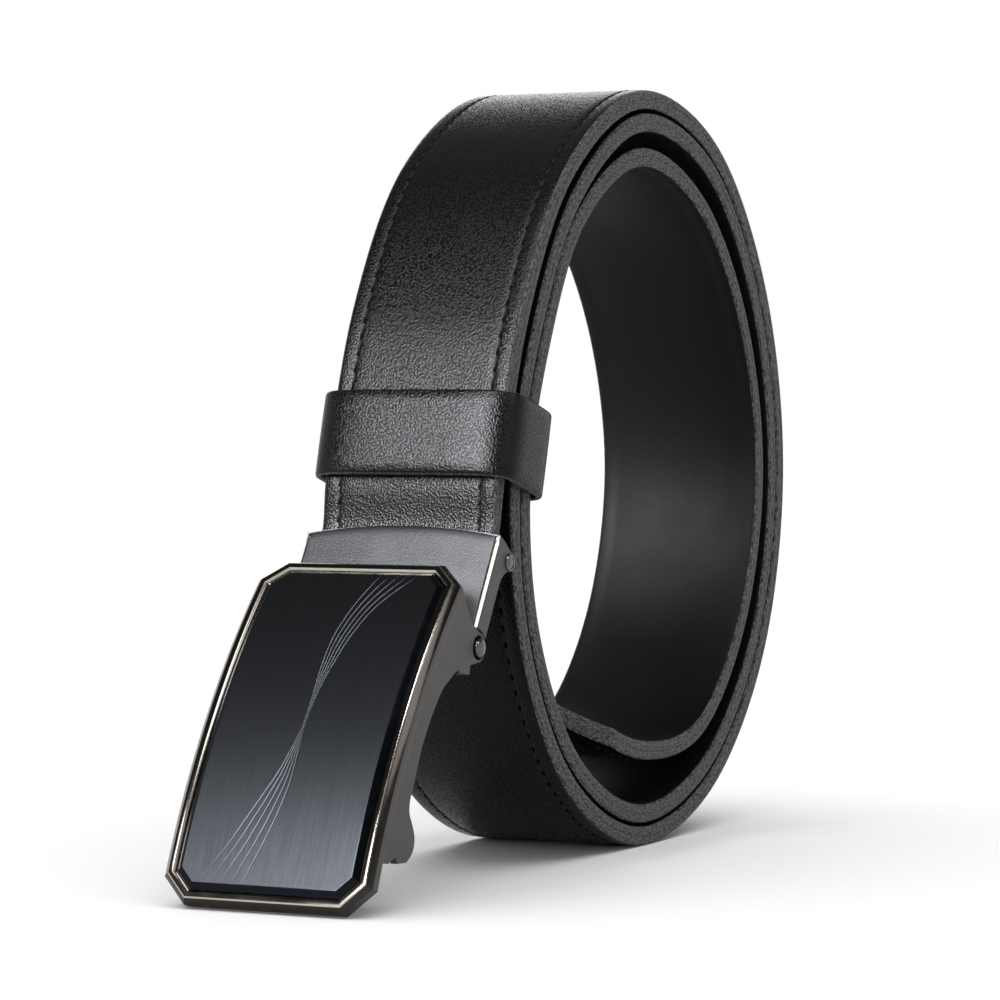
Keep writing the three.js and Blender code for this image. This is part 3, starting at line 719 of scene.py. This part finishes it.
def keeper_piece():
    runs = np.linspace(0, strap_length, 3000)
    middle, _, outward = strap_frame(runs)
    angle = np.arctan2(middle[:, 1] - coil_up, -(middle[:, 0] - coil_back))
    first = runs < strap_length / 4
    best = np.argmin(np.where(first, np.abs(angle - keeper_angle), 9))
    out = outward[best]
    upward = np.array([out[1], -out[0]])
    away = middle - middle[best]
    near = (np.abs(away @ upward) <= keeper_height / 2 + 1) & (middle[:, 0] < coil_back)
    front = np.max((away + outward * strap_thickness / 2)[near] @ out)
    back = np.min((away - outward * strap_thickness / 2)[near] @ out)
    half_depth = (front - back) / 2 + snug_gap
    half_x = strap_half + keeper_side_gap
    centre = middle[best] + out * (front + back) / 2

    # Section of the band: share of the wall from inside to outside, and height
    r = 0.55
    top = keeper_height / 2
    rim_rows = [(0.0, 0.3), (0.12, 0.08), (0.3, 0.0), (0.62, 0.0), (0.86, 0.14), (1.0, r)]
    section = [(share, -top + inset) for share, inset in rim_rows]
    for k in range(1, 8):
        section.append((1.0 + 0.05 * math.sin(math.pi * k / 8), -top + r + (2 * top - 2 * r) * k / 8))
    section += [(share, top - inset) for share, inset in reversed(rim_rows)]
    finishes = [EDGE] * 4 + [GRAIN] * 10 + [EDGE] * 4 + [LINING]
    inner = squared_ellipse(half_x, half_depth, keeper_inner_squareness)
    outer = squared_ellipse(half_x + keeper_wall, half_depth + keeper_wall + keeper_bow, keeper_squareness)
    rings = []
    for share, height in section:
        rings.append([(x + (far_x - x) * share, y + (far_y - y) * share, height)
                      for (x, y), (far_x, far_y) in zip(inner, outer)])
    rings.append(rings[0])
    faces, marks = band_faces(rings, finishes=finishes)
    basis = Matrix((
        (1, 0, 0, 0), (0, -out[0], upward[0], centre[0]), (0, -out[1], upward[1], centre[1]), (0, 0, 0, 1)))
    part = shape([p for ring in rings for p in ring], faces, marks)
    hide = grained_hide("keeper_leather", 0.4, (0.13, 0.36))
    piece = make_piece("keeper_loop", [part], [hide, edge, lining], "belt", "keeper", basis, crease=50)


keeper_piece()


# Clamp

clamp_width = 39
clamp_front = 18.35
flap_thickness = 0.8
flap_pin_radius = 1.1
flap_pin_drop = 2.25
barrel_wall = 0.4
boss_wall = 0.7
cheek_crest = 0.15
clamp_crown = 0.6
cheek_setback = 0.5
knuckle_wall = 0.9
pivot_pin_radius = 1.8
ear_radius = 2.7
grip_back = clamp_wall + 2 * piece_gap + gripped_strap
clamp_depth = grip_back + flap_thickness
flap_barrel = flap_pin_radius + piece_gap + barrel_wall
flap_pin = (grip_back + flap_barrel, -flap_pin_drop)
knuckle_radius = pivot_pin_radius + piece_gap + knuckle_wall
pivot_in_clamp = (grip_depth - 0.05, -clamp_front - knuckle_radius + 0.05)
cheek_wall = clamp_width / 2 - strap_half - piece_gap - 0.1

plate_width = 40.2
plate_length = 68.6
plate_thickness = 3.2
plate_arc = 152
plate_corner = 4.7
wall_thickness = 1.6
wall_inset = 0.35
pivot_depth = 14.7
plate_top = 9.8


BLASTED, HIGHLIGHT, BLACK = 0, 1, 2


def clamp_sheet():
    """The bowed front sheet: its top edge rolls back, and a fine line and a polished slope run
    down each side, the slope painted light as a highlight"""
    half = clamp_width / 2
    # Across the sheet: distance in from its side, depth, and the finish of the strip that follows
    # The polished slope's strip takes the much lighter nickel: painted highlight
    side_rows = [
        (0.0, 0.62, BLACK), (0.1, 0.52, HIGHLIGHT), (0.55, 0.06, BLACK), (0.64, 0.02, BLACK), (0.76, 0.12, BLACK),
        (0.88, 0.0, BLASTED), (1.6, 0.0, BLASTED)]
    left = [(-half + inset, depth, finish) for inset, depth, finish in side_rows]
    middle = [(x, 0.0, BLASTED) for x in np.linspace(-half + 4, half - 4, 13)]
    right = [(half - inset, depth, finish) for inset, depth, finish in reversed(side_rows)]
    columns = left + middle + right
    # Down the sheet: distance from its top edge and depth
    roll = 1.9
    turns = np.linspace(0, math.pi / 2, 8)
    rows = [(roll * (1 - math.cos(t)), clamp_lip * 1.1 * (1 - math.sin(t))) for t in turns]
    rows += [(3.0, 0.0), (5.5, 0.0), (9.0, 0.0), (14.0, 0.0)]
    points = []
    for down, sunk in rows:
        for x, depth, _ in columns:
            top = clamp_bow * (1 - (x / half) ** 2)
            points.append((x, max(depth, sunk) + clamp_crown * (x / half) ** 2, top - down))
    for x, depth, _ in columns:
        points.append((x, depth + clamp_crown * (x / half) ** 2, -clamp_front))
    wide, tall = len(columns), len(rows) + 1
    front, _ = band_faces([columns] * tall, closed=False)
    marks = [columns[c if c < wide // 2 else c + 1][2] for c in range(wide - 1)] * (tall - 1)
    # Back of the sheet, thinned at the mouth
    start = len(points)
    for r in range(tall):
        for x, _, _ in columns:
            top = clamp_bow * (1 - (x / half) ** 2)
            up = top - rows[r][0] if r < len(rows) else -clamp_front
            thin = np.interp(up, [-3.5, clamp_bow], [clamp_wall, clamp_lip * 1.1])
            points.append((x, float(thin), up))
    faces = front + [(start + a, start + d, start + c, start + b) for a, b, c, d in front]
    border = list(range(wide)) + [r * wide + wide - 1 for r in range(1, tall)]
    border += list(range((tall - 1) * wide + wide - 2, (tall - 1) * wide - 1, -1))
    border += [r * wide for r in range(tall - 2, 0, -1)]
    for a, b in zip(border, border[1:] + border[:1]):
        faces.append((a, start + a, start + b, b))
    marks += [BLASTED] * (len(faces) - len(marks))
    return shape(points, faces, marks)


highlight_metal = highlight_nickel()


def clamp_pieces():
    place = clamp_place()
    sweep = ear_radius + piece_gap + 0.15
    boss = flap_pin_radius + piece_gap + boss_wall
    cheek_depth = clamp_depth - cheek_setback
    heel = cheek_depth - pivot_in_clamp[0]
    heel_angle = math.acos(heel / sweep) / math.pi
    # The cheek's front edge lies behind the polished slope of the sheet
    cheek_front = 0.55 + clamp_crown
    cheek = [(cheek_front, -0.1), (clamp_wall, cheek_crest), (grip_depth, cheek_crest)]
    cheek += arc(boss, *flap_pin, 0.6, -0.1)
    start = cheek[-1]
    bend = (cheek_depth, -0.26 * clamp_front)
    end = (cheek_depth, -0.42 * clamp_front)
    for k in range(1, 9):
        w = k / 8
        first, second, third = (1 - w) ** 2, 2 * w * (1 - w), w * w
        cheek.append(tuple(first * a + second * b + third * c for a, b, c in zip(start, bend, end)))
    cheek += arc(sweep, *pivot_in_clamp, heel_angle, 0.6)
    cheek.append((cheek_front, -clamp_front))
    bore = circle(flap_pin_radius + 0.12, *flap_pin)
    offset = (clamp_width - cheek_wall) / 2
    parts = [pressed([cheek, bore], cheek_wall, side * offset, 0.25) for side in (1, -1)]
    parts.append(clamp_sheet())

    knuckle_width = plate_width - 2 * (wall_inset + wall_thickness + piece_gap)
    px, py = pivot_in_clamp
    knuckle = [(0, -clamp_front + 1), (clamp_wall, -clamp_front + 1)]
    knuckle += arc(knuckle_radius, px, py, 0.5, -0.25)
    lug_rows = [(0.9, -1.35), (-0.4, -1.95), (-1, -1.3), (-1, 0)]
    knuckle += [(px + back * knuckle_radius, py + up * knuckle_radius) for back, up in lug_rows]
    parts.append(pressed([knuckle], knuckle_width, 0, 0.25))
    metals = [blasted_gunmetal(), highlight_metal, black_nickel()]
    case = make_piece("clamp_shell", parts, metals, "belt", "clamp_case", place)

    flap_width = clamp_width - 2 * cheek_wall - 2 * piece_gap
    flap_back = grip_back + flap_thickness
    leaf = [(grip_back, flap_pin[1]), (grip_back, -grip_length), (flap_back, -grip_length),
            (flap_back, flap_pin[1])]
    flap_parts = [pressed([leaf], flap_width), pressed([circle(flap_barrel, *flap_pin), bore], flap_width)]
    flap = make_piece("clamp_leaf", flap_parts, [plain_steel()], "belt", "clamp_flap", place)

    pin_rows = [(-0.5, flap_pin_radius), (-0.02, flap_pin_radius), (0, 1.6), (0.12, 1.66), (0.3, 1.5),
                (0.34, 1.25), (0.2, 1.0), (0.3, 0.55), (0.34, 0.0)]
    rivet = pin_shape(clamp_width / 2, pin_rows, *flap_pin)
    pin = make_piece("clamp_rivet", [rivet], [polished_steel()], "belt", "clamp_pin", place)


clamp_pieces()


# Buckle: its origin is the pivot, and it hangs from there leaning forward

buckle_lean = math.radians(33.744)
buckle_place = Matrix.Translation((0, -53.431, 42.934)) @ Matrix.Rotation(-buckle_lean, 4, "X")
plate_middle = plate_top - plate_length / 2
half_span = math.asin(plate_length / 2 / plate_arc)
plate_reach = plate_arc * half_span
plate_apex = -pivot_depth - plate_arc * (1 - math.cos(math.asin(plate_middle / plate_arc)))
arc_centre = plate_apex + plate_arc


def on_arch(x, along, depth):
    """A point of the arched plate: distance along it from its middle, and depth behind its front"""
    turn = along / plate_arc
    reach = plate_arc - depth
    return (x, arc_centre - reach * math.cos(turn), plate_middle + reach * math.sin(turn))


def half_plate(inset):
    """Right half of the plate's outline, from the bottom up, as (x, along)"""
    half_x = plate_width / 2 - inset
    half_up = plate_reach - inset
    corner = plate_corner - inset * (2 - math.sqrt(2))
    side = np.linspace(-half_up + corner, half_up - corner, 40)
    return [(half_x - corner, -half_up)] + [(half_x, up) for up in side] + [(half_x - corner, half_up)]


def plate_ring(inset, depth):
    right = half_plate(inset)
    left = [(-x, up) for x, up in reversed(right)]
    return [on_arch(x, up, depth) for x, up in right + left]


def ring_stack(profile, finishes, closed_start=False, closed_end=False):
    """A skin through rings of the plate's outline: profile is (inset, depth)"""
    rings = [plate_ring(inset, depth) for inset, depth in profile]
    faces, marks = band_faces(rings, finishes=finishes)
    count = len(rings[0])
    for wanted, start in ((closed_start, 0), (closed_end, (len(rings) - 1) * count)):
        if wanted:
            for i in range(count // 2 - 1):
                far = count - 1 - i
                faces.append((start + i, start + i + 1, start + far - 1, start + far))
                marks.append(finishes[0] if start == 0 else finishes[-1])
    return shape([p for ring in rings for p in ring], faces, marks)


# Rear edge of a side wall below the ear, then its foot
# down: distance below the pivot as a share of the plate's length below it
# back: depth as a share of pivot_depth
wall_rows = [
    {"down": 0.118, "back": 0.71},
    {"down": 0.146, "back": 0.62},
    {"down": 0.171, "back": 0.566},
    {"down": 0.221, "back": 0.463},
    {"down": 0.288, "back": 0.407},
    {"down": 0.35, "back": 0.378},
    {"down": 0.434, "back": 0.37},
    {"down": 0.526, "back": 0.418},
    {"down": 0.595, "back": 0.45},
    {"down": 0.624, "back": 0.51},
    {"down": 0.643, "back": 0.642},
    {"down": 0.665, "back": 0.77},
    {"down": 0.695, "back": 0.83},
    {"down": 0.728, "back": 0.815},
    {"down": 0.755, "back": 0.755},
]
foot_rows = [
    {"down": 0.782, "back": 0.573},
    {"down": 0.776, "back": 0.476},
    {"down": 0.807, "back": 0.38},
]


def wall_point(row):
    return (-pivot_depth * (1 - row["back"]), -(plate_length - plate_top) * row["down"])


def side_wall():
    """Side outline of the wall with its ear and foot, as (back, up)"""
    top = plate_top - plate_corner
    bottom = wall_point({"down": 0.83, "back": 0})[1]
    seat = plate_arc - 0.8 * plate_thickness
    turns = [math.asin((up - plate_middle) / seat) for up in (bottom, top)]
    front = []
    for t in np.linspace(*turns, 24):
        front.append((arc_centre - seat * math.cos(t), plate_middle + seat * math.sin(t)))
    ear = arc(ear_radius, 0, 0, 0.62, -0.33, 16)
    outline = [(-0.76 * pivot_depth, top), (-0.32 * pivot_depth, 0.87 * ear_radius)]
    outline += ear[:-1]
    outline += [tuple(p) for p in smooth_line([ear[-1]] + [wall_point(row) for row in wall_rows], 5, 0.5)]
    outline += [wall_point(row) for row in foot_rows]
    return outline + front


def buckle_frame_piece():
    """The plate with its rim, and the two side walls.
    Finishes: 0 black nickel, 1 satin nickel, 2 painted highlight on two slopes of the rim"""
    # The rim's section, from the plate's back round to the panel's seat: inset and depth
    rim = [(0.3, plate_thickness), (0.0, plate_thickness - 0.3), (0.0, 1.1), (0.92, 0.14), (1.2, 0.0),
           (2.02, 0.0), (2.42, 0.55), (2.42, 1.32)]
    profile = filleted(rim, 0.1)
    finishes = []
    for (inset, depth), (next_inset, next_depth) in zip(profile, profile[1:]):
        middle = (inset + next_inset) / 2
        if depth > 1.06 and next_depth > 1.06 and inset < 1:
            finishes.append(1)
        # The foot of the outer slope and the inner slope take the much lighter nickel: painted highlight
        elif 0.95 < middle < 1.2 or 2.05 < middle < 2.4:
            finishes.append(2)
        else:
            finishes.append(0)
    parts = [ring_stack(profile, finishes, True, True)]
    centre = plate_width / 2 - wall_inset - wall_thickness / 2
    bore = circle(pivot_pin_radius + piece_gap, 0, 0)
    for side in (1, -1):
        parts.append(pressed([side_wall(), bore], wall_thickness, side * centre, 0.3, 1))
    metals = [black_nickel(), satin_nickel(), highlight_metal]
    frame_piece = make_piece(
        "buckle_body", parts, metals, "buckle", "buckle_frame", buckle_place, crease=25)


# Engraved wave: where its outer lines run, from the top of the panel to its bottom
# up: distance along the plate from its middle, left and right: the outer lines, across the plate
wave_rows = [
    {"up": 31.6, "left": 4.8, "right": 12.3},
    {"up": 24.2, "left": 2.0, "right": 6.56},
    {"up": 17.4, "left": 0.35, "right": 3.68},
    {"up": 11.4, "left": 0.05, "right": 2.2},
    {"up": 6.2, "left": 0.15, "right": 1.2},
    {"up": 1.2, "left": 0.15, "right": 0.65},
    {"up": -2.7, "left": -0.1, "right": 0.5},
    {"up": -8.8, "left": -1.5, "right": 0.75},
    {"up": -13.0, "left": -3.1, "right": 0.62},
    {"up": -19.0, "left": -5.9, "right": -0.45},
    {"up": -24.7, "left": -8.8, "right": -2.1},
    {"up": -31.2, "left": -13.2, "right": -4.4},
]
wave_lines = 5


def inlay_piece():
    """The brushed panel with its bevel and engraved lines.
    Finishes: 0 brushed face, 1 bevel and the lit side of a line, dark, 2 the line's other side, a lighter
    grey; the two sides of a line are a painted light and dark pair"""
    bevel_rows = filleted([(2.5, 1.0), (2.5, 0.5), (3.7, -0.1), (4.0, -0.1)], 0.08)
    skirt = ring_stack(bevel_rows[:-1], [1] * (len(bevel_rows) - 2), True, False)

    # The face, in rows along the plate whose columns follow the engraved lines
    inset = bevel_rows[-2][0]
    outline = half_plate(inset)
    ups = [p[1] for p in outline]
    halves = [p[0] for p in outline]
    wave = smooth_line([(r["up"], r["left"], r["right"]) for r in wave_rows], 20, 0)[::-1]
    heights = np.linspace(ups[0], ups[-1], 121)
    points = []
    filler = 6
    for up in heights:
        half = float(np.interp(up, ups, halves))
        left = float(np.interp(up, wave[:, 0], wave[:, 1]))
        right = float(np.interp(up, wave[:, 0], wave[:, 2]))
        spacing = (right - left) / (wave_lines - 1)
        fade = min(1.0, (ups[-1] - up) / 3, (up - ups[0]) / 3)
        lip = min(0.15, 0.35 * spacing) * max(fade, 0.02)
        groove = 0.3 * lip
        centres = [left + spacing * k for k in range(wave_lines)]
        row = [(-half + (centres[0] - lip + half) * k / filler, 0.0) for k in range(filler)]
        for x in centres:
            row += [(x - lip, 0.0), (x, groove), (x + lip, 0.0)]
        last = centres[-1] + lip
        row += [(last + (half - last) * k / filler, 0.0) for k in range(1, filler + 1)]
        points += [on_arch(x, up, bevel_rows[-2][1] + sunk) for x, sunk in row]
    faces, _ = band_faces([row] * len(heights), closed=False)
    marks = []
    # The two sides of each line get the lighter and the darker finish: painted light and shade
    for c in range(len(row) - 1):
        cut = 0 <= c - filler < 3 * wave_lines and (c - filler) % 3 != 2
        marks.append([2, 1][(c - filler) % 3] if cut else 0)
    face = shape(points, faces, marks * (len(heights) - 1))
    steels = [brushed_panel(-buckle_lean), bevel_and_painted_dark_side(), engraved_painted_light_side()]
    panel = make_piece("panel", [skirt, face], steels, "buckle", "face_inlay", buckle_place, crease=12)


buckle_frame_piece()
inlay_piece()


def small_buckle_pieces():
    r = pivot_pin_radius - 0.05
    pin_rows = [(-0.6, r), (0, r), (0.25, 0.93 * r), (0.5, 0.72 * r), (0.66, 0.4 * r), (0.7, 0)]
    rivet = pin_shape(plate_width / 2 - 0.1, pin_rows, 0, 0)
    pin = make_piece("pivot_rivet", [rivet], [polished_steel()], "buckle", "pivot_pin", buckle_place)
    t = 1.8
    back = -0.3 * pivot_depth
    up = -0.705 * (plate_length - plate_top)
    outline = [(back + t, up + t), (back - t, up + t * 1.2), (back - t * 1.6, up), (back - t, up - t),
               (back + t, up - t)]
    width = plate_width - 2 * (wall_thickness + piece_gap + wall_inset)
    bar = pressed([outline], width, 0, 0.3)
    pawl = make_piece("latch_bar", [bar], [plain_steel()], "buckle", "latch_pawl", buckle_place)


small_buckle_pieces()


# Floor, backdrop light and soft boxes

def add_floor():
    mesh = bpy.data.meshes.new("floor")
    reach = 6
    corners = [(-reach, -reach, 0), (reach, -reach, 0), (reach, reach, 0), (-reach, reach, 0)]
    mesh.from_pydata(corners, [], [(0, 1, 2, 3)])
    mesh.materials.append(backdrop_paper())
    floor = add_object("floor", mesh)


def add_softbox(name, turn, height, distance, size, radiance):
    """A rectangular light aimed at the belt, for its highlights: turn is in degrees to the right
    of the front, height in degrees above the floor, sizes in metres"""
    light = bpy.data.lights.new(name, "AREA")
    light.shape = "RECTANGLE"
    light.size, light.size_y = size
    light.energy = radiance * math.pi * size[0] * size[1]
    light.color = linear("#fafbff")[:3]
    lamp = add_object(name, light)
    turn, height = math.radians(turn), math.radians(height)
    away = Vector((math.sin(turn) * math.cos(height), -math.cos(turn) * math.cos(height), math.sin(height)))
    lamp.location = Vector((0, 0, 0.07)) + away * distance
    lamp.rotation_euler = (-away).to_track_quat("-Z", "Y").to_euler()
    lamp.visible_diffuse = False


def add_ceiling():
    """Wide even light from above, for the paper and the shadows; it makes no highlights"""
    light = bpy.data.lights.new("ceiling", "SUN")
    light.angle = math.radians(80)
    light.energy = 2.55
    lamp = add_object("ceiling", light)
    lamp.visible_glossy = False


def add_world():
    """White all round the horizon, dark grey overhead"""
    world = bpy.data.worlds.new("studio")
    world.use_nodes = True
    tree = world.node_tree
    tree.nodes.clear()
    place = add_node(tree, "ShaderNodeTexCoord").outputs["Generated"]
    parts = add_node(tree, "ShaderNodeSeparateXYZ", None, {0: place})
    # Sine of the height above the horizon, against brightness
    low = add_node(tree, "ShaderNodeMapRange", {"interpolation_type": "SMOOTHSTEP"}, {
        "Value": parts.outputs[2], "From Min": 0.16, "From Max": 0.6, "To Min": 1.0, "To Max": 0.22})
    glow = add_node(tree, "ShaderNodeBackground", None, {
        "Color": linear("#ffffff"), "Strength": low.outputs["Result"]})
    add_node(tree, "ShaderNodeOutputWorld", None, {"Surface": glow.outputs["Background"]})
    bpy.context.scene.world = world


add_floor()
add_world()
add_ceiling()
add_softbox("key", -11, 26, 1.3, (0.62, 0.56), 54)
add_softbox("right", 78, 42, 1.2, (0.4, 0.6), 5)
add_softbox("high", 2, 61, 1.2, (0.25, 0.25), 36)
add_softbox("back", -154, 22, 1.5, (1.3, 0.4), 1.8)
